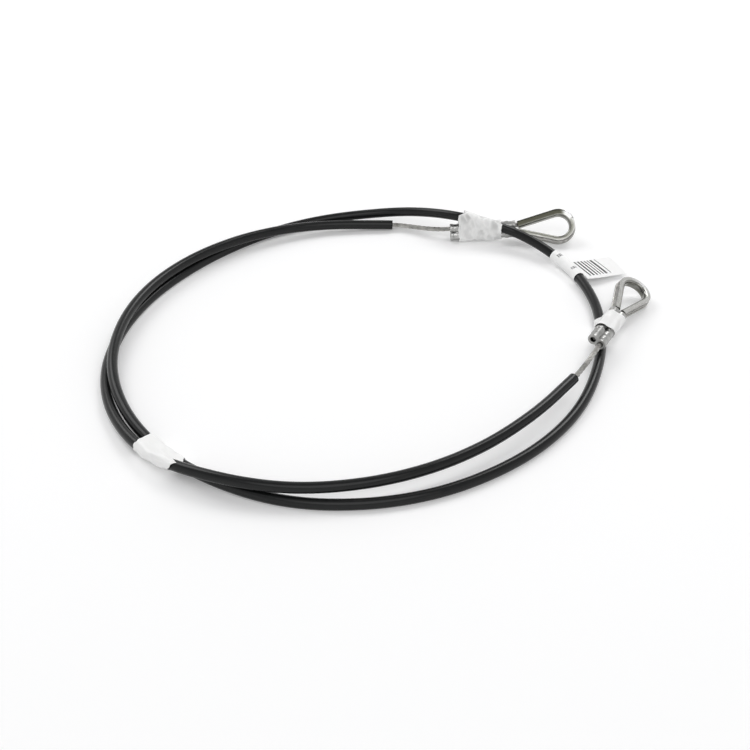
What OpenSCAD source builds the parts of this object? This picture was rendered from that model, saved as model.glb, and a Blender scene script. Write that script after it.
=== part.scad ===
// Looped security cable for a bicycle: a wire rope in a plastic sheath, coiled
// in nearly two turns, with a thimble eye held by two ferrules at each end.
// Millimetres, +Z up, standing on Z = 0 with the coil about the origin.

/* [Cable] */
// Diameter of the cable over its sheath
sheath_d = 8; // [7:0.5:9]
// Diameter of the bare wire rope
rope_d = 4; // [3:0.25:4.5]
// Clearance round the rope in its sheath, ferrules and thimbles
rope_gap = 0.1; // [0.05:0.05:0.2]
// Mean diameter of the coil
coil_d = 370; // [350:5:420]

/* [Eyes] */
// Inside width of an eye at its crown
eye_w = 18.5; // [16:0.5:20]
// Distance from the ferrule's face to the centre of the crown
eye_l = 37; // [33:1:42]
// Thickness of the thimble's wall
thimble_t = 1.4; // [1:0.1:1.6]
// Width of the thimble's channel across its two rims
thimble_w = 7.4; // [6.6:0.1:8]
// Height of the thimble's rims above the centre of the rope
rim_h = 2.5; // [1:0.1:2.8]

/* [Ferrules] */
// Length of one ferrule
ferrule_l = 22; // [16:1:24]
// Wall of a ferrule round each of its two bores
ferrule_t = 2.2; // [1.8:0.1:2.6]
// Distance between the two ropes' centres
rope_pitch = 6.4; // [5.5:0.1:7]
// Length of the pressed bands across a ferrule
crimp_l = 4; // [3:0.5:4.5]
// Depth of the pressed bands
crimp_h = 0.35; // [0.1:0.05:0.6]
// Space between the two ferrules of the first eye
gap_a = 13; // [8:0.5:18]
// Space between the two ferrules of the second eye
gap_b = 4; // [2:0.5:10]
// Depth of the rope's cut end inside the ferrule's mouth
tail_inset = 1.5; // [0.5:0.5:4]

/* [Tapes] */
// Thickness of the wound tape
tape_t = 0.5; // [0.3:0.1:0.5]
// Width of the tape on the first eye
tape_a_w = 38; // [20:1:40]
// Width of the tape on the second eye
tape_b_w = 23; // [18:1:30]
// Width of the tape round the two turns
tape_c_w = 35; // [20:1:38]

/* [Label] */
// Length of the label's wrap along the cable
wrap_l = 37; // [30:1:40]
// Length of the flag along the cable
flag_l = 28; // [16:1:28]
// Reach of the flag from the cable
flag_w = 37; // [24:1:44]
// Thickness of the folded paper
paper_t = 0.4; // [0.3:0.1:0.4]
// Slope of the flag down to the surface
flag_slope = 8; // [6:0.5:8]

/* [Hidden] */
$fn = 64;

rope_sides = 8;
sheath_sides = 12;
wrap_sides = 24;
rings_per_turn = 60;
touch = 0.3;        // air between a wrapped or resting piece and its seat
flat = 0.1;         // share of the sheath's diameter that is pressed flat below

sheath_r = sheath_d / 2;
rope_r = rope_d / 2;
bore_r = rope_r + rope_gap;
lobe_r = bore_r + ferrule_t;
trough_r = bore_r + thimble_t;
crown_r = eye_w / 2 + trough_r;     // radius of the rope round the crown
coil_at = [-18, 5.9];

// The route: one pair for each 15 degrees round the coil, from 75 degrees on.
// Each pair is [distance outside the mean circle, height], in cable diameters.
route_from = 75;
route_step = 15;
route = [
    [-2.25, .55], [-2.85, .7], [-2.75, .9], [-2.5, 1.2], [-2.1, 1.45], [-1.3, 1.5],
    [-.45, 1.5], [.25, 1.5], [.9, 1.3], [1.15, .9], [1.15, .65], [1.05, .6],
    [.75, .4], [.3, .4], [-.15, .4], [-.55, .4], [-.7, .4], [-.7, .4],
    [-.55, .6], [-.05, .6], [.75, .65], [1.2, .8], [.35, 1.7], [-1.65, 2.6],
    [-1.1, 1.75], [-1.1, 1], [-1.25, .6], [-1.5, .4], [-1.7, .4], [-1.35, .4],
    [-.5, .4], [.55, .4], [1.6, .4], [2.2, .6], [2.3, 1], [1.55, 1.6],
    [.3, 1.5], [-.95, 1.5], [-2, 1.5], [-2.75, 1.5], [-3, 1.6], [-2.65, 1.6],
    [-1.55, 1.65]];
sheath_from = 81.5;
sheath_to = 696.5;

function unit(v) = v / norm(v);
function mix(a, b, t) = a + (b - a) * t;
function dir(a) = [cos(a), sin(a), 0];

// Smooth curve through four values, at t between the middle two
function spline(p, t) = (2 * p[1] + (p[2] - p[0]) * t
    + (2 * p[0] - 5 * p[1] + 4 * p[2] - p[3]) * t * t
    + (3 * p[1] - p[0] - 3 * p[2] + p[3]) * t * t * t) / 2;
function station(a) =
    let (s = (a - route_from) / route_step, i = floor(s), n = len(route) - 1)
    spline([for (k = [-1:2]) route[max(0, min(n, i + k))]], s - i);
function on_route(a) =
    let (p = station(a), r = coil_d / 2 + p[0] * sheath_d)
    [coil_at.x + r * cos(a), coil_at.y + r * sin(a), p[1] * sheath_d];
function route_dir(a) = unit(on_route(a + 1) - on_route(a - 1));

// Frames: [origin, X along the eye, Y across its two ropes, Z off its face]
function frame(o, heading, rise, roll) =
    let (x = cos(rise) * dir(heading) + [0, 0, sin(rise)],
        y0 = dir(heading + 90), z0 = cross(x, y0),
        y = cos(roll) * y0 + sin(roll) * z0)
    [o, x, y, cross(x, y)];
function place(f, p) = f[0] + f[1] * p[0] + f[2] * p[1] + f[3] * p[2];
function local(f, p) = [(p - f[0]) * f[1], (p - f[0]) * f[2], (p - f[0]) * f[3]];
module at(f) {
    multmatrix([for (i = [0:2]) [f[1][i], f[2][i], f[3][i], f[0][i]]]) children();
}

// The first eye lies on the surface, the second on the turn that it crosses
a_heading = -0.9; a_rise = 4.1; a_roll = 42;
b_heading = 61; b_rise = -3.4; b_roll = 25;
b_cross = 36;       // how far behind its face the second eye's ferrule crosses the cable
a_l = 2 * ferrule_l + gap_a;
b_l = 2 * ferrule_l + gap_b;
a_z = touch + lobe_r + rope_pitch / 2 * sin(a_roll) + a_l * sin(a_rise);
b_z = 1.1 * sheath_d + touch + lobe_r + rope_pitch / 2 * sin(b_roll)
    + b_cross * sin(b_rise);
function by_coil(a, off, z) =
    [coil_at.x, coil_at.y, z] + (coil_d / 2 + off * sheath_d) * dir(a);
eye_a = frame(by_coil(48.1, 1.47, a_z), a_heading, a_rise, a_roll);
eye_b = frame(by_coil(4.45, 1.84, b_z), b_heading, b_rise, b_roll);

// The teardrop that the rope follows: legs rise at this lean to meet the crown
leg_reach = norm([eye_l, rope_pitch / 2]);
lean = asin(crown_r / leg_reach) - atan(rope_pitch / 2 / eye_l);
leg_l = sqrt(leg_reach * leg_reach - crown_r * crown_r);
leg_from = 1 + trough_r * sin(lean);      // the thimble's point stops short of the ferrule

// side is 1 or -1: the side of the eye's axis where the live rope comes in
function eye_path(l, side) = concat(
    [[-l + tail_inset, -side * rope_pitch / 2, 0], [0, -side * rope_pitch / 2, 0]],
    [for (k = [-10:10]) let (a = side * k / 10 * (90 + lean))
        [eye_l + crown_r * cos(a), crown_r * sin(a), 0]],
    [[0, side * rope_pitch / 2, 0], [-l, side * rope_pitch / 2, 0],
        [-l - rope_d, side * rope_pitch / 2, 0]]);

// Curve from p to q that leaves along u and arrives along v
function bridge(p, u, q, v, n) = let (m = norm(q - p)) [for (k = [1:n - 1]) let (t = k / n)
    (2 * t * t * t - 3 * t * t + 1) * p + (t * t * t - 2 * t * t + t) * m * u
    + (3 * t * t - 2 * t * t * t) * q + (t * t * t - t * t) * m * v];

function reversed(list) = [for (i = [len(list) - 1:-1:0]) list[i]];

n_turns = ceil((sheath_to - sheath_from) / 360 * rings_per_turn);
sheath_line = [for (i = [0:n_turns])
    on_route(sheath_from + (sheath_to - sheath_from) * i / n_turns)];
path_a = [for (p = eye_path(a_l, 1)) place(eye_a, p)];
path_b = reversed([for (p = eye_path(b_l, -1)) place(eye_b, p)]);
bridge_a = bridge(path_a[len(path_a) - 1], -eye_a[1], sheath_line[0], route_dir(sheath_from), 5);
bridge_b = bridge(sheath_line[n_turns], route_dir(sheath_to), path_b[0], eye_b[1], 5);
rope_line = concat(path_a, bridge_a, sheath_line, bridge_b, path_b);
rope_up = concat([for (p = path_a) eye_a[3]],
    [for (k = [1:4]) mix(eye_a[3], [0, 0, 1], k / 5)], [for (p = sheath_line) [0, 0, 1]],
    [for (k = [1:4]) mix([0, 0, 1], eye_b[3], k / 5)], [for (p = path_b) eye_b[3]]);

// The sheath is made of straight lengths between its rings: a point on them at an angle,
// and the points that a piece round the sheath shares with it between two angles
function ring_no(a) = (a - sheath_from) / (sheath_to - sheath_from) * n_turns;
function on_sheath(a) = let (s = ring_no(a), i = min(n_turns - 1, floor(s)))
    mix(sheath_line[i], sheath_line[i + 1], s - i);
function sheath_part(from, to) = concat([on_sheath(from)],
    [for (i = [ceil(ring_no(from)):floor(ring_no(to))]) sheath_line[i]], [on_sheath(to)]);

// Rings of points square to a line, and the skins that join them
function line_dir(line, i) =
    unit(line[min(len(line) - 1, i + 1)] - line[max(0, i - 1)]);
function ring(c, t, up, r, n, floor_z) =
    let (s = unit(cross(t, up)), u = cross(s, t))
    [for (k = [0:n - 1]) let (a = 360 * k / n, p = c + r * (cos(a) * s + sin(a) * u))
        [p.x, p.y, max(floor_z, p.z)]];
function rings(line, up, r, n, floor_z = 0) =
    [for (i = [0:len(line) - 1]) ring(line[i], line_dir(line, i), up[i], r, n, floor_z)];
function flatten(l) = [for (a = l) each a];
function skin(m, n, from, turn) = flatten([for (i = [0:m - 2], k = [0:n - 1])
    let (a = from + i * n + k, b = from + i * n + (k + 1) % n, c = b + n, d = a + n)
    turn ? [[a, b, c], [a, c, d]] : [[a, c, b], [a, d, c]]]);

module tube(rs) {
    m = len(rs); n = len(rs[0]); e = (m - 1) * n;
    polyhedron(flatten(rs), concat(skin(m, n, 0, true),
        [for (k = [1:n - 2]) [0, k + 1, k]], [for (k = [1:n - 2]) [e, e + k, e + k + 1]]));
}
module sleeve(outer, inner) {
    m = len(outer); n = len(outer[0]); e = m * n;
    function cap(o, i, turn) = flatten([for (k = [0:n - 1])
        let (j = (k + 1) % n) turn ? [[o + k, i + k, i + j], [o + k, i + j, o + j]]
            : [[o + k, i + j, i + k], [o + k, o + j, i + j]]]);
    polyhedron(flatten(concat(outer, inner)), concat(skin(m, n, 0, true),
        skin(m, n, e, false), cap(0, e, true), cap(e - n, 2 * e - n, false)));
}

// A line is [points, radius]. It crosses the plane x of frame f as a member, an ellipse:
// [centre, radius, slant of the line].
function crossing(f, x, line) = let (
    ps = [for (p = line[0]) local(f, p)],
    hit = [for (i = [0:len(ps) - 2]) if ((ps[i].x - x) * (ps[i + 1].x - x) <= 0) i][0],
    p = ps[hit], q = ps[hit + 1], c = mix(p, q, (x - p.x) / (q.x - p.x)))
    [[c.y, c.z], line[1], [q.y - p.y, q.z - p.z] / (q.x - p.x)];
// A taut wrap: in each direction d it lies on whichever member reaches farthest
function spread(m, d) = sqrt(1 + pow(m[2] * d, 2));
function reach(m, d) = m[0] * d + m[1] * spread(m, d);
function taut(ms, grow) = [for (k = [0:wrap_sides - 1])
    let (a = 360 * k / wrap_sides, d = [cos(a), sin(a)], most = max([for (m = ms) reach(m, d)]),
        far = [for (m = ms) if (reach(m, d) > most - 0.001) m][0])
    far[0] + far[1] / spread(far, d) * (d + (far[2] * d) * far[2]) + grow * d];
function steps(from, to, n) = [for (i = [0:n]) mix(from, to, i / n)];
function cable_line(from, to) = [sheath_part(from, to), sheath_r];
function lobe_lines(f, l) = [for (side = [-1, 1])
    [[for (x = [l, -2 * l]) place(f, [x, side * rope_pitch / 2, 0])], lobe_r]];
function wrap_rings(f, xs, lines, grow) = [for (x = xs)
    [for (p = taut([for (l = lines) crossing(f, x, l)], grow)) place(f, [x, p.x, p.y])]];
module wrap(f, w, n, lines) {
    xs = steps(w / 2, -w / 2, n);
    sleeve(wrap_rings(f, xs, lines, touch + tape_t), wrap_rings(f, xs, lines, touch));
}
// Frame of a wrap at o whose X runs halfway between two directions
function between(o, u, v) = let (x = unit(unit(u) + unit(v)), y = unit(cross([0, 0, 1], x)))
    [o, x, y, cross(x, y)];

// Rope, from its cut end in the first eye to its cut end in the second
module wire_rope() {
    color([0.62, 0.62, 0.6]) tube(rings(rope_line, rope_up, rope_r, rope_sides));
}

// Plastic sheath, cut square at both ends and pressed flat where it lies
module sheath() {
    up = [for (p = sheath_line) [0, 0, 1]];
    color([0.06, 0.06, 0.065]) sleeve(rings(sheath_line, up, sheath_r, sheath_sides),
        rings(sheath_line, up, bore_r, sheath_sides));
}

// Channel of the thimble: flat inside the eye, with a half-round groove for the rope.
// slim takes a little off it all over, for the legs that are let into the crown.
module channel(slim = 0) {
    half = thimble_w / 2 - slim;
    inner = trough_r - slim;
    groove = bore_r + slim;
    difference() {
        union() {
            translate([-inner + thimble_t, -half]) square([inner - thimble_t + rim_h - slim, 2 * half]);
            translate([-inner, -half + thimble_t]) square([inner, 2 * (half - thimble_t)]);
            for (side = [-1, 1])
                translate([-inner + thimble_t, side * (half - thimble_t)]) circle(thimble_t);
        }
        circle(groove);
        translate([0, -groove]) square([rim_h + 1, 2 * groove]);
    }
}
leg_slim = 0.05;
let_in = 0.3;       // how far a leg is let into the crown's end
module thimble() {
    translate([eye_l, 0, 0]) rotate([0, 0, -90 - lean])
        rotate_extrude(angle = 180 + 2 * lean) translate([crown_r, 0]) channel();
    for (side = [0, 1]) mirror([0, side, 0])
        translate([0, rope_pitch / 2, 0]) rotate([90, 0, 90 + lean])
            translate([0, 0, leg_from]) linear_extrude(leg_l - leg_from + let_in) channel(leg_slim);
}
module thimble_a() { color([0.78, 0.78, 0.77]) at(eye_a) thimble(); }
module thimble_b() { color([0.78, 0.78, 0.77]) at(eye_b) thimble(); }

// Duplex ferrule: two barrels in one body, pressed in bands, from x = 0 back
module barrels(r, from, l) {
    for (side = [-1, 1]) translate([-from, side * rope_pitch / 2, 0])
        rotate([0, -90, 0]) cylinder(r = r, h = l);
}
module ferrule() {
    bands = 3;
    rib_l = (ferrule_l - bands * crimp_l) / (bands + 1);
    difference() {
        union() {
            barrels(lobe_r - crimp_h, 0, ferrule_l);
            for (i = [0:bands]) barrels(lobe_r, i * (crimp_l + rib_l), rib_l);
            translate([-ferrule_l, -rope_pitch / 2, -bore_r]) cube([ferrule_l, rope_pitch, 2 * bore_r]);
        }
        translate([1, 0, 0]) barrels(bore_r, 0, ferrule_l + 2);
    }
}
module ferrule_a_throat() { color([0.75, 0.76, 0.78]) at(eye_a) ferrule(); }
module ferrule_a_tail() {
    color([0.75, 0.76, 0.78]) at(eye_a) translate([-ferrule_l - gap_a, 0, 0]) ferrule();
}
module ferrule_b_throat() { color([0.75, 0.76, 0.78]) at(eye_b) ferrule(); }
module ferrule_b_tail() {
    color([0.75, 0.76, 0.78]) at(eye_b) translate([-ferrule_l - gap_b, 0, 0]) ferrule();
}

// Tapes: two bind an eye's ferrules to the turn beside them, one binds two turns
tape_a_mid = -31;
tape_b_mid = -18;
tape_b_at = 358;
tape_c_at = 225.8;
module tape_a() {
    color([0.93, 0.93, 0.92]) wrap([place(eye_a, [tape_a_mid, 0, 0]), eye_a[1], eye_a[2], eye_a[3]],
        tape_a_w, 8, concat([cable_line(400, 436)], lobe_lines(eye_a, a_l)));
}
module tape_b() {
    color([0.93, 0.93, 0.92]) wrap(
        between(place(eye_b, [tape_b_mid, 0, 0]), eye_b[1], route_dir(tape_b_at)),
        tape_b_w, 6, concat([cable_line(338, 380)], lobe_lines(eye_b, b_l)));
}
module tape_c() {
    color([0.93, 0.93, 0.92]) wrap(
        between(mix(on_route(tape_c_at), on_route(tape_c_at + 360), 0.5),
            route_dir(tape_c_at), route_dir(tape_c_at + 360)),
        tape_c_w, 7, [cable_line(210, 239), cable_line(570, 599)]);
}

// Label: a paper wrap round the cable, and its flag folded off its outer side
wrap_to = 394.1;
wrap_from = wrap_to - wrap_l / norm(on_route(wrap_to) - concat(coil_at, 0)) * 180 / PI;
wrap_line = sheath_part(wrap_from, wrap_to);
module label_wrap() {
    up = [for (p = wrap_line) [0, 0, 1]];
    color([0.95, 0.95, 0.94]) sleeve(
        rings(wrap_line, up, sheath_r + touch + paper_t, sheath_sides),
        rings(wrap_line, up, sheath_r + touch, sheath_sides));
}
flag_at = 386;
flag_skew = 2;      // the flag is folded a little out of square
fold_up = 10;       // how far round from the horizontal the flag leaves the wrap
cable_dir = route_dir(flag_at);
flag_x = dir(atan2(cable_dir.y, cable_dir.x) - flag_skew);
flag_y = cross([0, 0, 1], flag_x);
flag_z = [0, 0, 1];
flag_hinge = on_route(flag_at) + (sheath_r + 2 * touch + paper_t + 0.1)
    * (sin(fold_up) * flag_z - cos(fold_up) * flag_y);
module label_flag() {
    color([0.97, 0.97, 0.96]) at([flag_hinge, flag_x, flag_y, flag_z]) rotate([flag_slope, 0, 0])
        translate([-flag_l / 2, -flag_w, -paper_t / 2]) cube([flag_l, flag_w, paper_t]);
}

// Least gap of the cable to itself, between rings more than a tenth of a turn apart
apart = rings_per_turn / 10;
fine = [for (i = [0:4 * n_turns]) on_sheath(mix(sheath_from, sheath_to, i / n_turns / 4))];
self_gap = min([for (i = [0:len(fine) - 1], j = [i + 4 * apart:len(fine) - 1])
    norm(fine[i] - fine[j])]) - sheath_d;
echo(least_gap_of_cable_to_itself = self_gap);
echo(flag_hinge = flag_hinge, flag_axis = flag_x);

wire_rope();
sheath();
thimble_a();
thimble_b();
ferrule_a_tail();
ferrule_a_throat();
ferrule_b_tail();
ferrule_b_throat();
tape_a();
tape_b();
tape_c();
label_wrap();
label_flag();
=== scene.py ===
import math

import bmesh
import bpy
from mathutils import Matrix, Vector, kdtree, noise


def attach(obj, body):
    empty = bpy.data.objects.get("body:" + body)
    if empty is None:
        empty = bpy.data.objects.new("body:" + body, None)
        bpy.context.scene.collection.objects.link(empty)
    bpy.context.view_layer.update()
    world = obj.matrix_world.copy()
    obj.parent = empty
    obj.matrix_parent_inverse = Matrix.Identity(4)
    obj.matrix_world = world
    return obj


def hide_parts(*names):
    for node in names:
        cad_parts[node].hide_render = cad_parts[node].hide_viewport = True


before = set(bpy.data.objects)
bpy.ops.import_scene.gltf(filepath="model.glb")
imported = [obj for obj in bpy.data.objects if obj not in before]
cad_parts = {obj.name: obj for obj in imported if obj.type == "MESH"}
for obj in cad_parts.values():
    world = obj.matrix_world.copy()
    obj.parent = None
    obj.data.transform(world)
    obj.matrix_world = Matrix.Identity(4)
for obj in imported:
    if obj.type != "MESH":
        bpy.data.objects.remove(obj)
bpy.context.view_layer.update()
mm = 0.001
print("frame loaded")


def newPiece(name, mesh, body, node, material, sharp=40):
    piece = bpy.data.objects.new(name, mesh)
    bpy.context.scene.collection.objects.link(piece)
    mesh.materials.append(material)
    mesh.shade_smooth()
    mesh.set_sharp_from_angle(angle=math.radians(sharp))
    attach(piece, body)
    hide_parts(node)
    return piece


def meshFrom(bm, name):
    mesh = bpy.data.meshes.new(name)
    bm.to_mesh(mesh)
    bm.free()
    return mesh


def mergedCopy(node):                      # a CAD node's mesh is loose triangles, so a copy is merged
    bm = bmesh.new()
    bm.from_mesh(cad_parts[node].data)
    bmesh.ops.remove_doubles(bm, verts=bm.verts, dist=1e-6)
    bmesh.ops.dissolve_degenerate(bm, edges=bm.edges, dist=1e-6)
    return bm


def onlyEdges(geom):
    return [e for e in geom if isinstance(e, bmesh.types.BMEdge)]


def onlyVerts(geom):
    return [v for v in geom if isinstance(v, bmesh.types.BMVert)]


def tubes(name, lines, radii, sides, caps=True):
    curve = bpy.data.curves.new(name, "CURVE")
    curve.dimensions = "3D"
    curve.bevel_depth = 1.0
    curve.bevel_resolution = max(0, sides // 2 - 2)
    curve.use_fill_caps = caps
    for line, radius in zip(lines, radii):
        spline = curve.splines.new("POLY")
        spline.points.add(len(line) - 1)
        for point, place in zip(spline.points, line):
            point.co = (*place, 1.0)
            point.radius = radius
    holder = bpy.data.objects.new(name, curve)
    mesh = bpy.data.meshes.new_from_object(holder)
    bpy.data.objects.remove(holder)
    bpy.data.curves.remove(curve)
    return mesh


def clamped(value):
    return min(1.0, max(0.0, value))


# the cable's route, in millimetres and degrees as the solids have it
cable = {
    "coilCentre": (-18.0, 5.9),
    "coilDiameter": 370.0,
    "sheathDiameter": 8.0,
    "ropeDiameter": 4.0,
    "sheathFrom": 81.5,
    "sheathTo": 696.5,
    "pointStep": 1.5,                      # between two points of the centre line
    "firstAngle": 75,
    "stationStep": 15,
    # at each station, the distance outside the mean circle and the height, in cable diameters
    "stations": [
        (-2.25, .55), (-2.85, .7), (-2.75, .9), (-2.5, 1.2), (-2.1, 1.45), (-1.3, 1.5),
        (-.45, 1.5), (.25, 1.5), (.9, 1.3), (1.15, .9), (1.15, .65), (1.05, .6),
        (.75, .4), (.3, .4), (-.15, .4), (-.55, .4), (-.7, .4), (-.7, .4),
        (-.55, .6), (-.05, .6), (.75, .65), (1.2, .8), (.35, 1.7), (-1.65, 2.6),
        (-1.1, 1.75), (-1.1, 1), (-1.25, .6), (-1.5, .4), (-1.7, .4), (-1.35, .4),
        (-.5, .4), (.55, .4), (1.6, .4), (2.2, .6), (2.3, 1), (1.55, 1.6),
        (.3, 1.5), (-.95, 1.5), (-2, 1.5), (-2.75, 1.5), (-3, 1.6), (-2.65, 1.6),
        (-1.55, 1.65)],
}


def byCoil(angle, offset, height):         # offset in cable diameters, height in millimetres
    radius = cable["coilDiameter"] / 2 + offset * cable["sheathDiameter"]
    turn = math.radians(angle)
    return mm * Vector((cable["coilCentre"][0] + radius * math.cos(turn),
                        cable["coilCentre"][1] + radius * math.sin(turn), height))


def onRoute(angle):                        # a smooth curve through the stations
    places = cable["stations"]
    along = (angle - cable["firstAngle"]) / cable["stationStep"]
    first = math.floor(along)
    t = along - first
    four = [Vector(places[min(len(places) - 1, max(0, first + k))]) for k in (-1, 0, 1, 2)]
    offset, height = (2 * four[1] + (four[2] - four[0]) * t
                      + (2 * four[0] - 5 * four[1] + 4 * four[2] - four[3]) * t ** 2
                      + (3 * four[1] - four[0] - 3 * four[2] + four[3]) * t ** 3) / 2
    return byCoil(angle, offset, height * cable["sheathDiameter"])


def routeDirection(angle):
    return (onRoute(angle + 1) - onRoute(angle - 1)).normalized()


def routeBetween(start, end, step):
    count = max(2, round((end - start) / step))
    return [onRoute(start + (end - start) * k / count) for k in range(count + 1)]


def bridge(p, u, q, v, count):             # leaves p along u and reaches q along v
    far = (q - p).length
    line = []
    for k in range(1, count):
        t = k / count
        line.append((2 * t**3 - 3 * t**2 + 1) * p + (t**3 - 2 * t**2 + t) * far * u
                    + (3 * t**2 - 2 * t**3) * q + (t**3 - t**2) * far * v)
    return line


def evenly(line, step):                    # the same line with points a fixed step apart
    out, left = [line[0].copy()], step
    for p, q in zip(line, line[1:]):
        gone, span = 0.0, (q - p).length
        while span - gone >= left:
            gone += left
            out.append(p.lerp(q, gone / span))
            left = step
        left -= span - gone
    out.append(line[-1].copy())
    return out


def lineLength(line):
    return sum((q - p).length for p, q in zip(line, line[1:]))


# the two eyes, each in its own frame: X along the eye, Y across its two ropes
eyes = {
    "a": {"polar": (48.1, 1.47), "heading": -0.9, "rise": 4.1, "roll": 42.0, "gap": 13.0, "side": 1},
    "b": {"polar": (4.45, 1.84), "heading": 61.0, "rise": -3.4, "roll": 25.0, "gap": 4.0, "side": -1},
}
eyeShape = {
    "length": 37.0, "crownRadius": 12.75, "ropePitch": 6.4, "ferruleLength": 22.0,
    "lobeRadius": 4.3, "boreRadius": 2.1, "touch": 0.3,
    "tailInset": 3.2,                      # how deep the rope's cut end is in the ferrule
    "carried": 1.1,                        # height of the turn under the second eye, in cable diameters
    "crossing": 36.0,                      # how far behind its face that eye crosses the turn
}


def eyeFrame(eye):                         # its turn, its origin and its bundle's length in millimetres
    heading, rise, roll = (math.radians(eye[k]) for k in ("heading", "rise", "roll"))
    length = 2 * eyeShape["ferruleLength"] + eye["gap"]
    lift = eyeShape["touch"] + eyeShape["lobeRadius"] + eyeShape["ropePitch"] / 2 * math.sin(roll)
    if eye["side"] > 0:
        height = lift + length * math.sin(rise)
    else:
        height = (eyeShape["carried"] * cable["sheathDiameter"] + lift
                  + eyeShape["crossing"] * math.sin(rise))
    along = Vector((math.cos(rise) * math.cos(heading), math.cos(rise) * math.sin(heading),
                    math.sin(rise)))
    level = Vector((-math.sin(heading), math.cos(heading), 0))
    across = math.cos(roll) * level + math.sin(roll) * along.cross(level)
    turn = Matrix((along, across, along.cross(across))).transposed().to_4x4()
    return turn, byCoil(*eye["polar"], height), length


def eyeMatrix(eye):                        # from millimetres in the eye's frame to the model
    turn, origin, _ = eyeFrame(eye)
    return Matrix.Translation(origin) @ turn @ Matrix.Scale(mm, 4)


def inEye(eye, points):
    turn, origin, _ = eyeFrame(eye)
    return [origin + turn @ (mm * Vector(p)) for p in points]


def teardrop():                            # half the ropes' pitch, the crown, the legs' lean and length
    half, crown = eyeShape["ropePitch"] / 2, eyeShape["crownRadius"]
    reach = math.hypot(eyeShape["length"], half)
    lean = math.asin(crown / reach) - math.atan(half / eyeShape["length"])
    return half, crown, lean, math.sqrt(reach ** 2 - crown ** 2)


def eyeLine(eye):                          # from the rope's cut end, round the crown and back out
    length, side = eyeFrame(eye)[2], eye["side"]
    half, crown, lean, _ = teardrop()
    steps = 14                             # on each side of the crown's tip
    line = [(-length + eyeShape["tailInset"], -side * half, 0), (0, -side * half, 0)]
    for k in range(-steps, steps + 1):
        a = side * k / steps * (math.pi / 2 + lean)
        line.append((eyeShape["length"] + crown * math.cos(a), crown * math.sin(a), 0))
    line += [(0, side * half, 0), (-length, side * half, 0),
             (-length - cable["ropeDiameter"], side * half, 0)]
    return inEye(eye, line)


# camera and lamps
view = {"place": (-9.0, -738.1, 544.9), "down": 38.0, "lens": 56.77, "sensor": 36, "near": 0.01}

camera = bpy.data.objects.new("camera", bpy.data.cameras.new("camera"))
camera.data.lens = view["lens"]
camera.data.sensor_width = view["sensor"]
camera.data.clip_start = view["near"]
camera.location = mm * Vector(view["place"])
camera.rotation_euler = (math.radians(90 - view["down"]), 0, 0)
bpy.context.scene.collection.objects.link(camera)
bpy.context.scene.camera = camera
bpy.context.scene.view_settings.view_transform = "Standard"

lamps = {                                  # metres and watts, each aimed at the middle of the coil
    "windowLeft": {"place": (-1.3, 1.3, 2.0), "size": 1.7, "power": 19},
    "windowRight": {"place": (0.9, 1.35, 1.75), "size": 1.1, "power": 15},
    "overFront": {"place": (0.15, -1.5, 2.4), "size": 2.2, "power": 18},
}
for name, lamp in lamps.items():
    light = bpy.data.lights.new(name, "AREA")
    light.shape = "DISK"
    light.size = lamp["size"]
    light.energy = lamp["power"]
    holder = bpy.data.objects.new(name, light)
    holder.location = lamp["place"]
    holder.rotation_euler = (-Vector(lamp["place"])).to_track_quat("-Z", "Y").to_euler()
    bpy.context.scene.collection.objects.link(holder)
print("camera and lamps made")


# small pieces of node tree, used by the room and by every finish
def placed(tree, group, **values):
    node = tree.nodes.new("ShaderNodeGroup")
    node.node_tree = group
    for name, value in values.items():
        node.inputs[name].default_value = value
    return node


def maths(tree, operation, first, second, clamp=False):
    node = tree.nodes.new("ShaderNodeMath")
    node.operation, node.use_clamp = operation, clamp
    for socket, value in zip(node.inputs, (first, second)):
        if isinstance(value, (int, float)):
            socket.default_value = value
        else:
            tree.links.new(value, socket)
    return node.outputs[0]


def ranged(tree, value, low, high):        # 0 becomes low and 1 becomes high
    node = tree.nodes.new("ShaderNodeMapRange")
    node.inputs["To Min"].default_value = low
    node.inputs["To Max"].default_value = high
    tree.links.new(value, node.inputs["Value"])
    return node.outputs[0]


def mixed(tree, factor, first, second):    # each colour is a tuple or another node's output
    node = tree.nodes.new("ShaderNodeMix")
    node.data_type = "RGBA"
    tree.links.new(factor, node.inputs["Factor"])
    for socket, value in ((node.inputs["A"], first), (node.inputs["B"], second)):
        if isinstance(value, tuple):
            socket.default_value = (*value, 1)
        else:
            tree.links.new(value, socket)
    return node.outputs["Result"]


def ramp(tree, factor, stops, constant=False):
    node = tree.nodes.new("ShaderNodeValToRGB")
    node.color_ramp.interpolation = "CONSTANT" if constant else "LINEAR"
    band = node.color_ramp.elements
    band.remove(band[1])
    band[0].position, band[0].color = stops[0][0], (*stops[0][1], 1)
    for place, colour in stops[1:]:
        band.new(place).color = (*colour, 1)
    tree.links.new(factor, node.inputs["Fac"])
    return node.outputs["Color"]


def backgroundShare(tree):                 # 1 for what the camera, a reflection or glass sees
    path = tree.nodes.new("ShaderNodeLightPath").outputs
    seen = maths(tree, "ADD", path["Is Camera Ray"], path["Is Glossy Ray"], clamp=True)
    return maths(tree, "ADD", seen, path["Is Transmission Ray"], clamp=True)


# the room: white walls under a greyer ceiling, and a white bench
room = {
    "skyStrength": 0.7, "walls": (1.0, 1.0, 1.0), "ceiling": (0.42, 0.42, 0.43),
    "ceilingRise": (0.15, 0.95),           # where the walls start to darken, and where the ceiling is
    "benchColour": (0.9, 0.9, 0.9), "benchRough": 0.6, "benchSpecular": 0.2, "benchGlow": 0.15,
    "benchSize": 8.0,                      # metres
}

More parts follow.
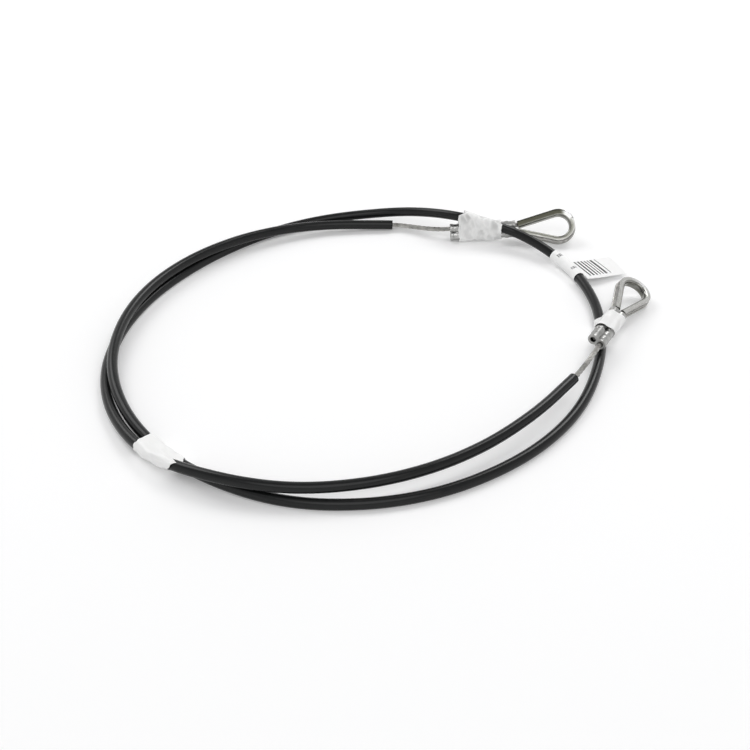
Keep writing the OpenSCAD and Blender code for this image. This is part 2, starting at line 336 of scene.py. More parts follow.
world = bpy.data.worlds.new("room")
bpy.context.scene.world = world
world.use_nodes = True
tree = world.node_tree
sky = tree.nodes["Background"]
place, split = tree.nodes.new("ShaderNodeTexCoord"), tree.nodes.new("ShaderNodeSeparateXYZ")
rise = tree.nodes.new("ShaderNodeMapRange")
rise.interpolation_type = "SMOOTHSTEP"
rise.inputs["From Min"].default_value, rise.inputs["From Max"].default_value = room["ceilingRise"]
tree.links.new(place.outputs["Generated"], split.inputs[0])
tree.links.new(split.outputs["Z"], rise.inputs["Value"])
tree.links.new(mixed(tree, rise.outputs[0], room["walls"], room["ceiling"]), sky.inputs["Color"])
tree.links.new(ranged(tree, backgroundShare(tree), room["skyStrength"], 1.0), sky.inputs["Strength"])

bm = bmesh.new()
bmesh.ops.create_grid(bm, x_segments=1, y_segments=1, size=room["benchSize"] / 2)
floor = bpy.data.objects.new("floor", meshFrom(bm, "floor"))
bpy.context.scene.collection.objects.link(floor)
paint = bpy.data.materials.new("whiteBench")
paint.use_nodes = True
tree = paint.node_tree
bench = tree.nodes["Principled BSDF"]
bench.inputs["Base Color"].default_value = (*room["benchColour"], 1)
bench.inputs["Roughness"].default_value = room["benchRough"]
bench.inputs["Specular IOR Level"].default_value = room["benchSpecular"]
bench.inputs["Emission Color"].default_value = (1, 1, 1, 1)
tree.links.new(maths(tree, "MULTIPLY", backgroundShare(tree), room["benchGlow"]),
               bench.inputs["Emission Strength"])
floor.data.materials.append(paint)
print("room made")


def grainGroup():                          # soft mottling and fine bumps, for every finish
    group = bpy.data.node_groups.new("surfaceGrain", "ShaderNodeTree")
    face = group.interface
    for name, value in (("Scale", 200.0), ("Bump", 0.1), ("Reach", 0.0001)):
        socket = face.new_socket(name, in_out="INPUT", socket_type="NodeSocketFloat")
        socket.default_value = value
    face.new_socket("Mottle", in_out="OUTPUT", socket_type="NodeSocketFloat")
    face.new_socket("Normal", in_out="OUTPUT", socket_type="NodeSocketVector")
    nodes, links = group.nodes, group.links
    entry, leave = nodes.new("NodeGroupInput"), nodes.new("NodeGroupOutput")
    place = nodes.new("ShaderNodeTexCoord")
    wide, fine = nodes.new("ShaderNodeTexNoise"), nodes.new("ShaderNodeTexNoise")
    wide.inputs["Detail"].default_value = 3
    fine.inputs["Detail"].default_value = 6
    fineScale = maths(group, "MULTIPLY", entry.outputs["Scale"], 9)
    bump = nodes.new("ShaderNodeBump")
    links.new(place.outputs["Object"], wide.inputs["Vector"])
    links.new(place.outputs["Object"], fine.inputs["Vector"])
    links.new(entry.outputs["Scale"], wide.inputs["Scale"])
    links.new(fineScale, fine.inputs["Scale"])
    links.new(fine.outputs["Fac"], bump.inputs["Height"])
    links.new(entry.outputs["Bump"], bump.inputs["Strength"])
    links.new(entry.outputs["Reach"], bump.inputs["Distance"])
    links.new(wide.outputs["Fac"], leave.inputs["Mottle"])
    links.new(bump.outputs["Normal"], leave.inputs["Normal"])
    return group


def streakGroup():                         # long fine streaks along the first axis of a map
    group = bpy.data.node_groups.new("drawnStreaks", "ShaderNodeTree")
    face = group.interface
    face.new_socket("Map", in_out="INPUT", socket_type="NodeSocketVector")
    for name, value in (("Along", 40.0), ("Across", 400.0)):
        socket = face.new_socket(name, in_out="INPUT", socket_type="NodeSocketFloat")
        socket.default_value = value
    face.new_socket("Streak", in_out="OUTPUT", socket_type="NodeSocketFloat")
    nodes, links = group.nodes, group.links
    entry, leave = nodes.new("NodeGroupInput"), nodes.new("NodeGroupOutput")
    scale = nodes.new("ShaderNodeCombineXYZ")
    stretch = nodes.new("ShaderNodeVectorMath")
    stretch.operation = "MULTIPLY"
    pattern = nodes.new("ShaderNodeTexNoise")
    pattern.inputs["Scale"].default_value = 1
    pattern.inputs["Detail"].default_value = 4
    pattern.inputs["Roughness"].default_value = 0.6
    links.new(entry.outputs["Along"], scale.inputs["X"])
    links.new(entry.outputs["Across"], scale.inputs["Y"])
    links.new(entry.outputs["Across"], scale.inputs["Z"])
    links.new(entry.outputs["Map"], stretch.inputs[0])
    links.new(scale.outputs[0], stretch.inputs[1])
    links.new(stretch.outputs[0], pattern.inputs["Vector"])
    links.new(pattern.outputs["Fac"], leave.inputs["Streak"])
    return group


grain, streaks = grainGroup(), streakGroup()
maskContrast = 2.2                         # noise keeps near its middle, so the mask is spread out


def surfaceMap(tree, field):               # the piece's own UV map, or a vector painted on its points
    if field == "UVMap":
        source = tree.nodes.new("ShaderNodeUVMap")
        source.uv_map = field
        return source.outputs["UV"]
    source = tree.nodes.new("ShaderNodeAttribute")
    source.attribute_name = field
    return source.outputs["Vector"]


def finish(name, look):                    # returns the material, and its colour for more to be laid on
    material = bpy.data.materials.new(name)
    material.use_nodes = True
    tree = material.node_tree
    surface = tree.nodes["Principled BSDF"]
    surface.inputs["Metallic"].default_value = look.get("metallic", 0)
    surface.inputs["Coat Weight"].default_value = look.get("coat", 0)
    surface.inputs["Specular IOR Level"].default_value = look.get("specular", 0.5)
    texture = placed(tree, grain, Scale=look["grainScale"], Bump=look["bump"], Reach=look["reach"])
    mask = texture.outputs["Mottle"]
    if "streaks" in look:
        along, across, share, field = look["streaks"]
        lines = placed(tree, streaks, Along=along, Across=across)
        tree.links.new(surfaceMap(tree, field), lines.inputs["Map"])
        mask = maths(tree, "ADD", maths(tree, "MULTIPLY", mask, 1 - share),
                     maths(tree, "MULTIPLY", lines.outputs["Streak"], share))
    spread = maths(tree, "MULTIPLY", maths(tree, "SUBTRACT", mask, 0.5), maskContrast)
    spread = maths(tree, "ADD", spread, 0.5, clamp=True)
    if "tones" in look:                    # a painted tone picks from a ramp, the mask loosens its edges
        tone = tree.nodes.new("ShaderNodeAttribute")
        tone.attribute_name = "tone"
        loose = maths(tree, "MULTIPLY", maths(tree, "SUBTRACT", spread, 0.5), look["toneLoose"])
        colour = ramp(tree, maths(tree, "ADD", tone.outputs["Fac"], loose, clamp=True), look["tones"])
    else:
        colour = mixed(tree, spread, look["dark"], look["light"])
    tree.links.new(colour, surface.inputs["Base Color"])
    tree.links.new(ranged(tree, spread, *look["rough"]), surface.inputs["Roughness"])
    tree.links.new(texture.outputs["Normal"], surface.inputs["Normal"])
    return material, colour


# streaks: scale along, scale across, share of the mask, and the map that they follow
# tones: from light to dark along a ramp; painted highlight, reflection and shade on the thimbles,
# painted shade in the ferrules' bores and on the tapes
looks = {
    "sheathPlastic": {"dark": (.005, .0055, .006), "light": (.012, .0125, .012), "rough": (.16, .28),
                      "grainScale": 130, "bump": .25, "reach": .00008, "specular": .26,
                      "streaks": (90, 34, .6, "UVMap")},
    "ropeSteel": {"dark": (.30, .295, .28), "light": (.60, .59, .57), "rough": (.26, .38),
                  "grainScale": 260, "bump": .2, "reach": .00003, "metallic": 1},
    "thimbleSteel": {"tones": ((0, (.95, .95, .95)), (.3, (.62, .62, .60)), (.55, (.34, .34, .32)),
                               (.8, (.12, .12, .095)), (1, (.06, .06, .045))), "toneLoose": .3,
                     "rough": (.16, .30), "grainScale": 160, "bump": .2, "reach": .00003,
                     "metallic": 1, "streaks": (.12, 1.6, .75, "course")},
    "ferruleMetal": {"tones": ((0, (.46, .46, .45)), (.35, (.30, .30, .29)), (1, (.015, .015, .015))),
                     "toneLoose": .35, "rough": (.22, .34), "grainScale": 60, "bump": .15,
                     "reach": .00004, "metallic": 1},
    "tapeFilm": {"tones": ((0, (.95, .95, .94)), (.5, (.72, .72, .71)), (1, (.42, .42, .41))),
                 "toneLoose": .12, "rough": (.3, .5), "grainScale": 140, "bump": .4,
                 "reach": .00012, "coat": .2},
}
materials = {name: finish(name, look)[0] for name, look in looks.items()}
print("materials made")


# sheath
sheath = {"sides": 32, "cutBevel": 0.35, "bevelSteps": 3}

sheathLine = routeBetween(cable["sheathFrom"], cable["sheathTo"], cable["pointStep"])
bm = bmesh.new()
bm.from_mesh(tubes("sheath", [sheathLine], [mm * cable["sheathDiameter"] / 2], sheath["sides"]))
ends = [e for f in bm.faces if len(f.verts) > 4 for e in f.edges]
bmesh.ops.bevel(bm, geom=ends, offset=mm * sheath["cutBevel"], segments=sheath["bevelSteps"],
                profile=0.5, affect="EDGES", material=-1)
for v in bm.verts:                         # pressed flat where the cable lies
    v.co.z = max(v.co.z, 0.0)
sheathPiece = newPiece("cable_sheath", meshFrom(bm, "cable_sheath"), "cable", "sheath",
                       materials["sheathPlastic"])
print("sheath made,", round(lineLength(sheathLine), 3), "m")


# wire rope: six strands laid round a core, each of six wires laid round one, drawn where it shows
rope = {"strandLay": 26.0, "wireLay": 11.0, "step": 1.0, "wireSides": 6, "wiresAcross": 9,
        "bridgePoints": 16, "inSheath": (0, 0.5, 1)}    # the last in degrees past the sheath's cut end


def carriedFrames(line):                   # a frame at each point that doesn't spin about the line
    frames, side = [], Vector((0, 0, 1))
    for i, p in enumerate(line):
        along = (line[min(len(line) - 1, i + 1)] - line[max(0, i - 1)]).normalized()
        side = (side - side.dot(along) * along).normalized()
        frames.append((p, side, along.cross(side)))
    return frames


def wound(frames, radius, lay, start):
    line = []
    for i, (p, side, up) in enumerate(frames):
        a = start + 2 * math.pi * i * rope["step"] / lay
        line.append(p + radius * (math.cos(a) * side + math.sin(a) * up))
    return line


def wireRope(name, centreLine):
    frames = carriedFrames(evenly(centreLine, mm * rope["step"]))
    wire = mm * cable["ropeDiameter"] / rope["wiresAcross"] / 2         # radius of one wire
    lines, radii = [[p for p, _, _ in frames]], [3 * wire]              # the core, as one bar
    for strand in range(6):
        heart = wound(frames, 6 * wire, rope["strandLay"], strand * math.pi / 3)
        lines.append(heart)
        radii.append(1.5 * wire)
        inner = carriedFrames(heart)
        for k in range(6):
            lines.append(wound(inner, 2 * wire, -rope["wireLay"], k * math.pi / 3))
            radii.append(wire)
    piece = newPiece(name, tubes(name, lines, radii, rope["wireSides"]), "cable", "wire_rope",
                     materials["ropeSteel"])
    print(name, "made,", round(lineLength(centreLine), 3), "m")


alongA, alongB = (eyeFrame(eyes[letter])[0].col[0].xyz for letter in "ab")
lineA, lineB = eyeLine(eyes["a"]), eyeLine(eyes["b"])
insideA = [onRoute(cable["sheathFrom"] + k) for k in rope["inSheath"]]
insideB = [onRoute(cable["sheathTo"] - k) for k in rope["inSheath"]]
lineA += bridge(lineA[-1], -alongA, insideA[0], routeDirection(cable["sheathFrom"]),
                rope["bridgePoints"]) + insideA
lineB += bridge(lineB[-1], -alongB, insideB[0], -routeDirection(cable["sheathTo"]),
                rope["bridgePoints"]) + insideB
wireRope("rope_first_eye", lineA)
wireRope("rope_second_eye", lineB)


# thimbles: a U channel bent to a teardrop
thimble = {"wall": 1.4, "width": 7.4, "rim": 2.3, "legStart": 1.0, "corner": 1.9, "cornerSteps": 6,
           "grooveFlat": 0.02, "grooveSteps": 7, "lip": 0.5, "lipSteps": 3, "crownSteps": 56,
           "legCuts": 12, "wallBlend": 0.6, "edgeShade": 0.3, "edgeShadeWidth": 0.5}
# each list goes along the rope, in millimetres from the crown's tip, with a value at each stop
# the thimbles' tones are painted reflection and highlight in the steel's colour: dark stretches stand
# for a mirrored dark room, near-white stretches for a lamp's highlight on the crown
thimbleRimsAndSheen = {
    "a": {"sheenTones": [(-60, .52), (-18, .50), (-9, .55), (0, .52), (5, .38), (8, .08), (13, .04),
                        (16, .60), (18, .95), (60, .97)],
          "rimHeights": [(-60, .4), (-14, .5), (-2, 1.2), (10, 2.3), (60, 2.3)],
          "wallSheenTone": .66,                 # painted reflection: a lighter tone for the wall inside the eye
          "wallFrom": 1.5},                # how far in from the rope's middle that tone starts
    "b": {"sheenTones": [(-60, .40), (-20, .38), (-8, .28), (-3, .06), (3, .20), (10, .36), (20, .40),
                        (60, .42)],
          "rimHeights": [(-60, 1.1), (60, 1.1)], "wallSheenTone": .66, "wallFrom": 2.4},
}


def between(stops, at):                    # straight between the stops of a list
    for (a, p), (b, q) in zip(stops, stops[1:]):
        if at <= b:
            return p + (q - p) * max(0.0, at - a) / (b - a)
    return stops[-1][1]


def onTeardrop(place):                     # how far along the rope, how far outside it, and the way in
    _, crown, lean, _ = teardrop()
    x, y = place.x - eyeShape["length"], place.y
    turn = math.atan2(y, x)
    if abs(turn) <= math.pi / 2 + lean:
        return turn * crown, math.hypot(x, y) - crown, Vector((-x, -y, 0)).normalized()
    way = math.copysign(1, y)
    leg = -x * math.cos(lean) - way * y * math.sin(lean)
    out = x * -math.sin(lean) + way * y * math.cos(lean) - crown
    return (way * ((math.pi / 2 + lean) * crown + leg), out,
            Vector((math.sin(lean), -way * math.cos(lean), 0)))


def thimbleShape():
    _, crown, lean, legLength = teardrop()
    length, bore, rim = eyeShape["length"], eyeShape["boreRadius"], thimble["rim"]
    depth, side = bore + thimble["wall"], thimble["width"] / 2
    bm = bmesh.new()
    channel = [(-depth, -side), (rim, -side), (rim, -bore), (-bore, -bore),
               (-bore, bore), (rim, bore), (rim, side), (-depth, side)]
    corners = [bm.verts.new((out, 0, across)) for out, across in channel]
    bm.faces.new(corners)
    for picked, width, segments in (((0, 7), thimble["corner"], thimble["cornerSteps"]),
                                    ((3, 4), bore - thimble["grooveFlat"], thimble["grooveSteps"]),
                                    ((1, 2, 5, 6), thimble["lip"], thimble["lipSteps"])):
        bmesh.ops.bevel(bm, geom=[corners[k] for k in picked], offset=width, segments=segments,
                        profile=0.5, affect="VERTICES", material=-1)
    bmesh.ops.delete(bm, geom=bm.faces[:], context="FACES_ONLY")
    bmesh.ops.translate(bm, verts=bm.verts, vec=(length + crown, 0, 0))
    bmesh.ops.rotate(bm, verts=bm.verts, cent=(length, 0, 0),
                     matrix=Matrix.Rotation(-(math.pi / 2 + lean), 3, "Z"))
    first = bm.edges[:]
    spun = bmesh.ops.spin(bm, geom=bm.verts[:] + first, cent=(length, 0, 0), axis=(0, 0, 1),
                          angle=math.pi + 2 * lean, steps=thimble["crownSteps"])
    last = onlyEdges(spun["geom_last"])
    run = legLength - thimble["legStart"] - depth * math.sin(lean)
    for loop, way in ((first, -1), (last, 1)):
        leg = bmesh.ops.extrude_edge_only(bm, edges=loop)["geom"]
        bmesh.ops.translate(bm, verts=onlyVerts(leg),
                            vec=(-run * math.cos(lean), -way * run * math.sin(lean), 0))
    bmesh.ops.subdivide_edges(bm, edges=[e for e in bm.edges if e.calc_length() > run / 2],
                              cuts=thimble["legCuts"], use_grid_fill=True)
    bmesh.ops.holes_fill(bm, edges=[e for e in bm.edges if e.is_boundary], sides=0)
    bmesh.ops.recalc_face_normals(bm, faces=bm.faces)
    return bm


def thimblePiece(letter, node, name):
    wearAndSheen = thimbleRimsAndSheen[letter]
    bm = thimbleShape()
    tone, course = bm.verts.layers.float.new("tone"), bm.verts.layers.float_vector.new("course")
    for v in bm.verts:
        along, out, inward = onTeardrop(v.co)
        spare = out - between(wearAndSheen["rimHeights"], along)
        if v.co.z > 0.5 * eyeShape["boreRadius"] and spare > 0:         # the worn side shows the rope
            v.co += inward * spare
            out -= spare
        # painted reflection and highlight along each side, blended into the lighter painted wall inside
        # the eye
        side, inside = between(wearAndSheen["sheenTones"], along), -out - wearAndSheen["wallFrom"]
        # painted shade: a darker line along the edge where the wall's tone starts
        edgeShade = thimble["edgeShade"] * clamped(1 - abs(inside) / thimble["edgeShadeWidth"])
        v[tone] = side + (wearAndSheen["wallSheenTone"] - side) * clamped(inside / thimble["wallBlend"]) + edgeShade
        v[course] = (along, out, v.co.z)
    bmesh.ops.transform(bm, matrix=eyeMatrix(eyes[letter]), verts=bm.verts)
    newPiece(name, meshFrom(bm, name), "cable", node, materials["thimbleSteel"], sharp=35)


thimblePiece("a", "thimble_a", "thimble_first_eye")
thimblePiece("b", "thimble_b", "thimble_second_eye")
print("thimbles made")


# ferrules: two barrels in one body, pressed in bands
ferrule = {"bands": 3, "band": 4.0, "depth": 0.35, "ease": 0.5, "rim": 0.5, "boreRim": 0.5,
           "rimSteps": 3, "segments": 40, "boreSegments": 28,
           "metalTone": 0.175, "boreShadeTone": 1.0, "boreReach": 0.05}      # the bores are painted dark inside, as painted shade in a recess


def ferruleStations():                     # how far back each ring is, and how deep it is pressed
    band, ease = ferrule["band"], ferrule["ease"]
    rib = (eyeShape["ferruleLength"] - ferrule["bands"] * band) / (ferrule["bands"] + 1)
    stations, at = [(0, 0)], rib
    for _ in range(ferrule["bands"]):
        stations += [(at, 0), (at + ease, 1), (at + band - ease, 1), (at + band, 0)]
        at += band + rib
    return stations + [(eyeShape["ferruleLength"], 0)]


def boreCircle(bm, x, y):
    circle = bmesh.ops.create_circle(bm, cap_ends=False, radius=eyeShape["boreRadius"],
                                     segments=ferrule["boreSegments"])["verts"]
    bmesh.ops.rotate(bm, verts=circle, matrix=Matrix.Rotation(math.pi / 2, 3, "Y"))
    bmesh.ops.translate(bm, verts=circle, vec=(x, y, 0))
    return list(dict.fromkeys(e for v in circle for e in v.link_edges))


def ferrulePiece(eye, node, name, back):
    half, lobe, length = eyeShape["ropePitch"] / 2, eyeShape["lobeRadius"], eyeShape["ferruleLength"]
    bm = bmesh.new()
    bmesh.ops.create_circle(bm, cap_ends=True, radius=lobe, segments=ferrule["segments"])
    bmesh.ops.rotate(bm, verts=bm.verts, matrix=Matrix.Rotation(math.pi / 2, 3, "Y"))
    bmesh.ops.translate(bm, verts=bm.verts, vec=(0, half, 0))
    bmesh.ops.bisect_plane(bm, geom=bm.verts[:] + bm.edges[:] + bm.faces[:], plane_co=(0, 0, 0),
                           plane_no=(0, 1, 0), clear_inner=True)
    bmesh.ops.mirror(bm, geom=bm.verts[:] + bm.edges[:] + bm.faces[:], axis="Y", merge_dist=1e-4)
    bmesh.ops.dissolve_faces(bm, faces=bm.faces[:])
    bmesh.ops.delete(bm, geom=bm.faces[:], context="FACES_ONLY")
    front, before = bm.edges[:], (0, 0)
    ring = front
    for station in ferruleStations()[1:]:
        out = bmesh.ops.extrude_edge_only(bm, edges=ring)["geom"]
        was, now = before[1] * ferrule["depth"], station[1] * ferrule["depth"]
        bmesh.ops.translate(bm, verts=onlyVerts(out), vec=(before[0] - station[0], 0, 0))
        bmesh.ops.scale(bm, verts=onlyVerts(out), vec=(1, (half + lobe - now) / (half + lobe - was),
                                                       (lobe - now) / (lobe - was)))
        ring = [e for e in onlyEdges(out) if e.is_boundary]
        before = station
    rims, boreRims = front + ring, []
    for side in (-1, 1):
        near, far = boreCircle(bm, 0, side * half), boreCircle(bm, -length, side * half)
        bmesh.ops.bridge_loops(bm, edges=near + far)
        boreRims += near + far
        front, ring = front + near, ring + far
    for end in (front, ring):
        bmesh.ops.triangle_fill(bm, edges=end, use_beauty=True, normal=(1, 0, 0))
    bmesh.ops.recalc_face_normals(bm, faces=bm.faces)
    for picked, width in ((rims, ferrule["rim"]), (boreRims, ferrule["boreRim"])):
        bmesh.ops.bevel(bm, geom=picked, offset=width, segments=ferrule["rimSteps"], profile=0.5,
                        affect="EDGES", material=-1)
    tone = bm.verts.layers.float.new("tone")
    dark = eyeShape["boreRadius"] + ferrule["boreReach"]
    for v in bm.verts:
        inside = math.hypot(abs(v.co.y) - half, v.co.z) < dark
        # painted shade: the insides of the bores are near black
        v[tone] = ferrule["boreShadeTone"] if inside else ferrule["metalTone"]
    bmesh.ops.translate(bm, verts=bm.verts, vec=(-back, 0, 0))
    bmesh.ops.transform(bm, matrix=eyeMatrix(eye), verts=bm.verts)
    newPiece(name, meshFrom(bm, name), "cable", node, materials["ferruleMetal"], sharp=32)


for letter, words in (("a", "first"), ("b", "second")):
    ferrulePiece(eyes[letter], "ferrule_" + letter + "_throat", "ferrule_throat_" + words, 0)
    ferrulePiece(eyes[letter], "ferrule_" + letter + "_tail", "ferrule_tail_" + words,
                 eyeShape["ferruleLength"] + eyes[letter]["gap"])
print("ferrules made")


# tapes: thin film from the solids' outer faces, sunk between what it holds, and crumpled
tape = {
    "film": 0.16, "cuts": 5, "smoothing": 0.5, "joinAngle": 0.4, "joinShape": 2, "markStep": 0.5,
    "outwards": 0.2, "endOn": 0.8,         # how squarely a face looks out, or along the axis
    "clear": 0.3, "bulge": 0.7,            # least space over what it holds, most outside the solid
    "sinkFrom": 0.9, "sink": 0.42, "sinkMost": 1.7,
    "creaseDraw": 0.62, "creaseMiddle": 0.35, "creaseSeed": (3.1, 7.7, 1.3),
    "crinkle": 0.15, "crinkleSize": 1.9, "crinkleSeed": (9, 2, 5),
    "endReach": 4.0, "raggedSize": 2.5,
    "cornerTowards": (0, 0.6, 0.8), "cornerFrom": 0.84, "cornerBlend": 0.07, "cornerReach": 16.0,
    "flapReach": 14.0,
    "shadeFrom": 1.5, "shadeBlend": 1.2, "facetShadeSeed": 3.7,
}
secondAt, thirdAt = 358, 225.8             # where the second and the third tape lie on the coil
tapes = {
    "tape_a": {"eye": "a", "turns": [(400, 436)], "axis": alongA, "pull": (0.45, -0.45, -0.75),
               "folds": 1.2, "foldSize": 9.0, "creases": 1.8, "creaseSize": 5.0, "ragged": 1.2,
               "corner": 6.0, "flap": 0, "shade": 0.35, "facetShade": 0.5},
    "tape_b": {"eye": "b", "turns": [(338, 380)], "axis": alongB + routeDirection(secondAt),
               "pull": alongB, "folds": 0.5, "foldSize": 9.0, "creases": 0.5, "creaseSize": 7.0,
               "ragged": 0.6, "corner": 0, "flap": 0, "shade": 0.15, "facetShade": 0.25},
    "tape_c": {"eye": None, "turns": [(210, 240), (570, 600)],
               "axis": routeDirection(thirdAt) + routeDirection(thirdAt + 360),
               "pull": routeDirection(thirdAt), "folds": 0.7, "foldSize": 7.0, "creases": 0.9,
               "creaseSize": 5.0, "ragged": 1.0, "corner": 0, "flap": 7.0, "shade": 0, "facetShade": 0.1},
}


def markLine(line, radius):                # a line made quick to measure from
    points = evenly(line, mm * tape["markStep"])
    found = kdtree.KDTree(len(points))
    for k, place in enumerate(points):
        found.insert(place, k)
    found.balance()
    return found, mm * radius


def lobeLines(eye):
    half, length = eyeShape["ropePitch"] / 2, eyeFrame(eye)[2]
    return [markLine(inEye(eye, [(0, side * half, 0), (-length, side * half, 0)]),
                     eyeShape["lobeRadius"]) for side in (-1, 1)]


def clearance(place, lines):               # in millimetres, and far off where there is no line
    return min([(place - found.find(place)[0]).length - radius for found, radius in lines],
               default=1.0) / mm


def outerSkin(node, axis):                 # the solid's bore and ends go, its outside is cut up finely
    bm = mergedCopy(node)
    bm.normal_update()
    centre = sum((v.co for v in bm.verts), Vector()) / len(bm.verts)
    inner = []
    for face in bm.faces:
        away = face.calc_center_median() - centre
        away -= away.dot(axis) * axis
        looksIn = face.normal.dot(away.normalized()) < tape["outwards"]
        if looksIn or abs(face.normal.dot(axis)) > tape["endOn"]:
            inner.append(face)
    bmesh.ops.delete(bm, geom=inner, context="FACES")
    bmesh.ops.join_triangles(bm, faces=bm.faces, angle_face_threshold=tape["joinAngle"],
                             angle_shape_threshold=tape["joinShape"])
    bmesh.ops.subdivide_edges(bm, edges=bm.edges, cuts=tape["cuts"], use_grid_fill=True)
    bmesh.ops.smooth_vert(bm, verts=[v for v in bm.verts if not v.is_boundary],
                          factor=tape["smoothing"], use_axis_x=True, use_axis_y=True, use_axis_z=True)
    bm.normal_update()
    return bm, centre


def edgeShift(look, away, fromLow, fromHigh):           # how far along the axis a torn end moves
    shift = 0.0
    ragged = look["ragged"] * (0.5 + noise.noise(away / (mm * tape["raggedSize"])))
    for end, way in ((fromLow, 1), (fromHigh, -1)):
        shift += way * clamped(1 - end / (mm * tape["endReach"])) ** 2 * ragged
    out = away.normalized()
    far = clamped((out.dot(Vector(tape["cornerTowards"])) - tape["cornerFrom"]) / tape["cornerBlend"])
    shift += look["corner"] * far * clamped(1 - fromLow / (mm * tape["cornerReach"]))
    return shift + look["flap"] * clamped(out.z) * clamped(1 - fromHigh / (mm * tape["flapReach"]))


def filmPiece(node):
    look = tapes[node]
    axis, pull = look["axis"].normalized(), Vector(look["pull"]).normalized()
    cables = [markLine(routeBetween(start, end, 1), cable["sheathDiameter"] / 2)
              for start, end in look["turns"]]
    held = cables + (lobeLines(eyes[look["eye"]]) if look["eye"] else [])
    bm, centre = outerSkin(node, axis)
    tone = bm.verts.layers.float.new("tone")
    reach = [(v.co - centre).dot(axis) for v in bm.verts]
    low, high = min(reach), max(reach)
    for v, at in zip(bm.verts, reach):
        place = v.co.copy()
        gap = clearance(place, held)
        fold = noise.noise(place / (mm * look["foldSize"]))
        drawn = place - tape["creaseDraw"] * (place - centre).dot(pull) * pull
        near, cells = noise.voronoi(drawn / (mm * look["creaseSize"]) + Vector(tape["creaseSeed"]))
        facet = near[1] - near[0]          # flat facets that meet in sharp creases
        fine = abs(noise.noise(place / (mm * tape["crinkleSize"]) + Vector(tape["crinkleSeed"])))
        sink = min(tape["sinkMost"], tape["sink"] * max(0.0, gap - tape["sinkFrom"]))
        move = (look["folds"] * fold + look["creases"] * (tape["creaseMiddle"] - facet)
                - tape["crinkle"] * fine - sink)
        v.co += v.normal * mm * max(min(move, tape["bulge"]), tape["clear"] - gap)
        away = place - centre
        away -= away.dot(axis) * axis
        v.co += axis * mm * edgeShift(look, away, at - low, high - at)
        v.co.z = max(v.co.z, mm * tape["film"])
        shade = clamped((tape["shadeFrom"] - clearance(v.co, cables)) / tape["shadeBlend"])
        # painted shade: each facet darker by a random amount, lightest along the creases between facets
        facetShade = (0.5 + noise.noise(cells[0] * tape["facetShadeSeed"])) * clamped(4 * facet)
        v[tone] = look["shade"] * shade + look["facetShade"] * facetShade
    bmesh.ops.solidify(bm, geom=bm.faces[:], thickness=mm * tape["film"])
    bmesh.ops.recalc_face_normals(bm, faces=bm.faces)
    newPiece(node + "_film", meshFrom(bm, node + "_film"), "cable", node,
             materials["tapeFilm"], sharp=50)
    print(node, "film made")


for node in tapes:
    filmPiece(node)


# label: a paper wrap and its printed flag
label = {
    "wrapFrom": 383.5, "wrapTo": 394.1, "wrapStep": 0.25, "wrapRadius": 4.55, "wrapSides": 48,
    "loose": 0.12, "looseSize": 5.0, "paper": 0.14,
    "hinge": (161.457, 92.9721, 6.51452), "hingeAxis": (-0.363768, 0.93149, 0.0),
    "flagLength": 28.0, "flagReach": 37.0, "flagCells": (28, 36), "slope": 8.0, "curl": 1.8,
    "bow": 0.6,
}
paperLook = {"dark": (.93, .93, .92), "light": (.97, .97, .965), "rough": (.5, .65),
             "grainScale": 300, "bump": .15, "reach": .00003,
             "ink": (.012, .012, .014), "inkGrain": 900, "inkWear": (.2, .88)}
# marks are (start, width) and rows (from, to), as shares of the wrap and in millimetres on the flag
prints = {
    "wrapPaper": {"size": (1.0, 1.0), "lean": 0, "rows": [(.22, .30), (.76, .86)],
                  "marks": [(.14, .02), (.175, .012), (.20, .028), (.24, .012), (.27, .02), (.31, .012),
                            (.60, .02), (.635, .012), (.66, .028), (.70, .012), (.73, .02),
                            (.77, .012)]},
    "flagPaper": {"size": (28.0, 37.0), "lean": 3.4 / 23, "rows": [(0.9, 23.6)],
                  "marks": [(1.2, 1.5), (4.4, 1.8), (7.9, 1.4), (11.0, 1.2), (13.9, 1.0), (16.6, 2.0),
                            (21.2, 0.7)]},
}


def inkOn(tree, along, marks, length):     # white where a coordinate falls on one of the marks
    black, white = (0, 0, 0), (1, 1, 1)
    bands = [(0.0, black)]
    for start, width in marks:
        bands += [(start / length, white), ((start + width) / length, black)]
    return ramp(tree, maths(tree, "DIVIDE", along, length), bands, constant=True)


def within(tree, value, low, high):
    return maths(tree, "MULTIPLY", maths(tree, "GREATER_THAN", value, low),
                 maths(tree, "LESS_THAN", value, high))


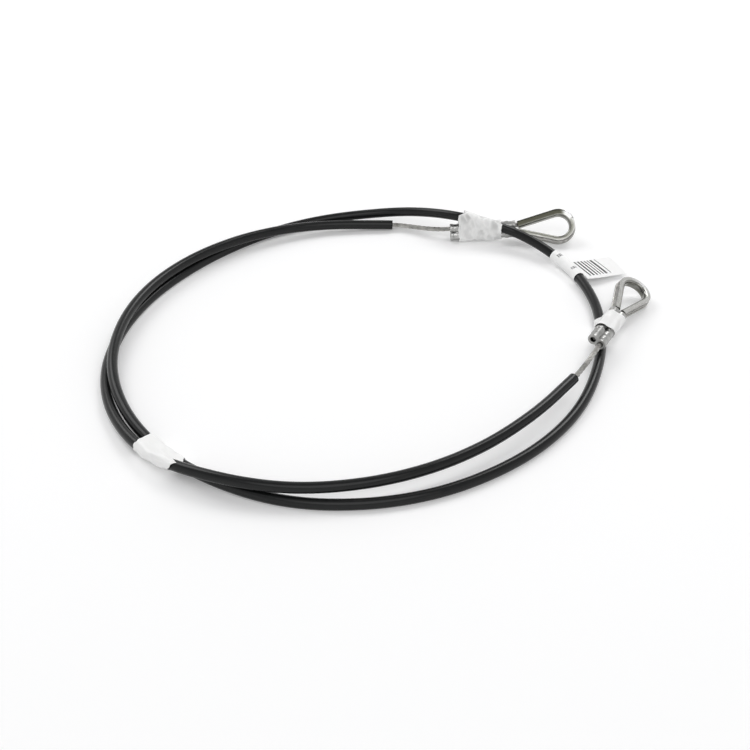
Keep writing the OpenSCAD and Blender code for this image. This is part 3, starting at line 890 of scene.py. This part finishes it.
def printedPaper(name):
    look = prints[name]
    width, height = look["size"]
    material, paper = finish(name, paperLook)
    tree = material.node_tree
    split = tree.nodes.new("ShaderNodeSeparateXYZ")
    tree.links.new(surfaceMap(tree, "UVMap"), split.inputs[0])
    u = maths(tree, "MULTIPLY", split.outputs["X"], width)
    v = maths(tree, "MULTIPLY", split.outputs["Y"], height)
    across = maths(tree, "SUBTRACT", v, maths(tree, "MULTIPLY", u, look["lean"]))
    row = within(tree, u, *look["rows"][0])
    for low, high in look["rows"][1:]:
        row = maths(tree, "ADD", row, within(tree, u, low, high))
    ink = maths(tree, "MULTIPLY", inkOn(tree, across, look["marks"], height), row)
    wearAndSheen = placed(tree, grain, Scale=paperLook["inkGrain"]).outputs["Mottle"]
    share, least = paperLook["inkWear"]
    ink = maths(tree, "MULTIPLY", ink, maths(tree, "ADD", maths(tree, "MULTIPLY", wearAndSheen, share), least),
                clamp=True)
    tree.links.new(mixed(tree, ink, paper, paperLook["ink"]),
                   tree.nodes["Principled BSDF"].inputs["Base Color"])
    return material


wrapLine = routeBetween(label["wrapFrom"], label["wrapTo"], label["wrapStep"])
wrapMiddle = onRoute((label["wrapFrom"] + label["wrapTo"]) / 2)
bm = bmesh.new()
bm.from_mesh(tubes("label", [wrapLine], [mm * label["wrapRadius"]], label["wrapSides"], caps=False))
for v in bm.verts:                         # a little loose on the cable
    v.co += (mm * label["loose"] * noise.noise(v.co / (mm * label["looseSize"]))
             * (v.co - wrapMiddle).normalized())
bmesh.ops.solidify(bm, geom=bm.faces, thickness=-mm * label["paper"])
bmesh.ops.recalc_face_normals(bm, faces=bm.faces)
for v in bm.verts:
    v.co.z = max(v.co.z, 0.0)
newPiece("label_wrap_paper", meshFrom(bm, "label_wrap_paper"), "cable", "label_wrap",
         printedPaper("wrapPaper"))

bm = bmesh.new()
bm.loops.layers.uv.new("UVMap")
bmesh.ops.create_grid(bm, x_segments=label["flagCells"][0], y_segments=label["flagCells"][1], size=0.5,
                      calc_uvs=True)
bmesh.ops.translate(bm, verts=bm.verts, vec=(0, 0.5, 0))
bmesh.ops.scale(bm, verts=bm.verts, vec=(label["flagLength"], label["flagReach"], 1))
for v in bm.verts:                         # the free edge curls up, and its middle bows
    out, side = v.co.y / label["flagReach"], 2 * v.co.x / label["flagLength"]
    v.co.z += label["curl"] * out ** 2 + label["bow"] * out * (1 - side ** 2)
bmesh.ops.solidify(bm, geom=bm.faces, thickness=label["paper"])
bmesh.ops.recalc_face_normals(bm, faces=bm.faces)
along, up = -Vector(label["hingeAxis"]), Vector((0, 0, 1))
slope = math.radians(label["slope"])
out = math.cos(slope) * up.cross(along) - math.sin(slope) * up
turn = Matrix((along, out, along.cross(out))).transposed().to_4x4()
bmesh.ops.transform(bm, verts=bm.verts, matrix=Matrix.Translation(mm * Vector(label["hinge"])) @ turn
                    @ Matrix.Scale(mm, 4))
newPiece("label_flag_paper", meshFrom(bm, "label_flag_paper"), "flag", "label_flag",
         printedPaper("flagPaper"))
print("label made")
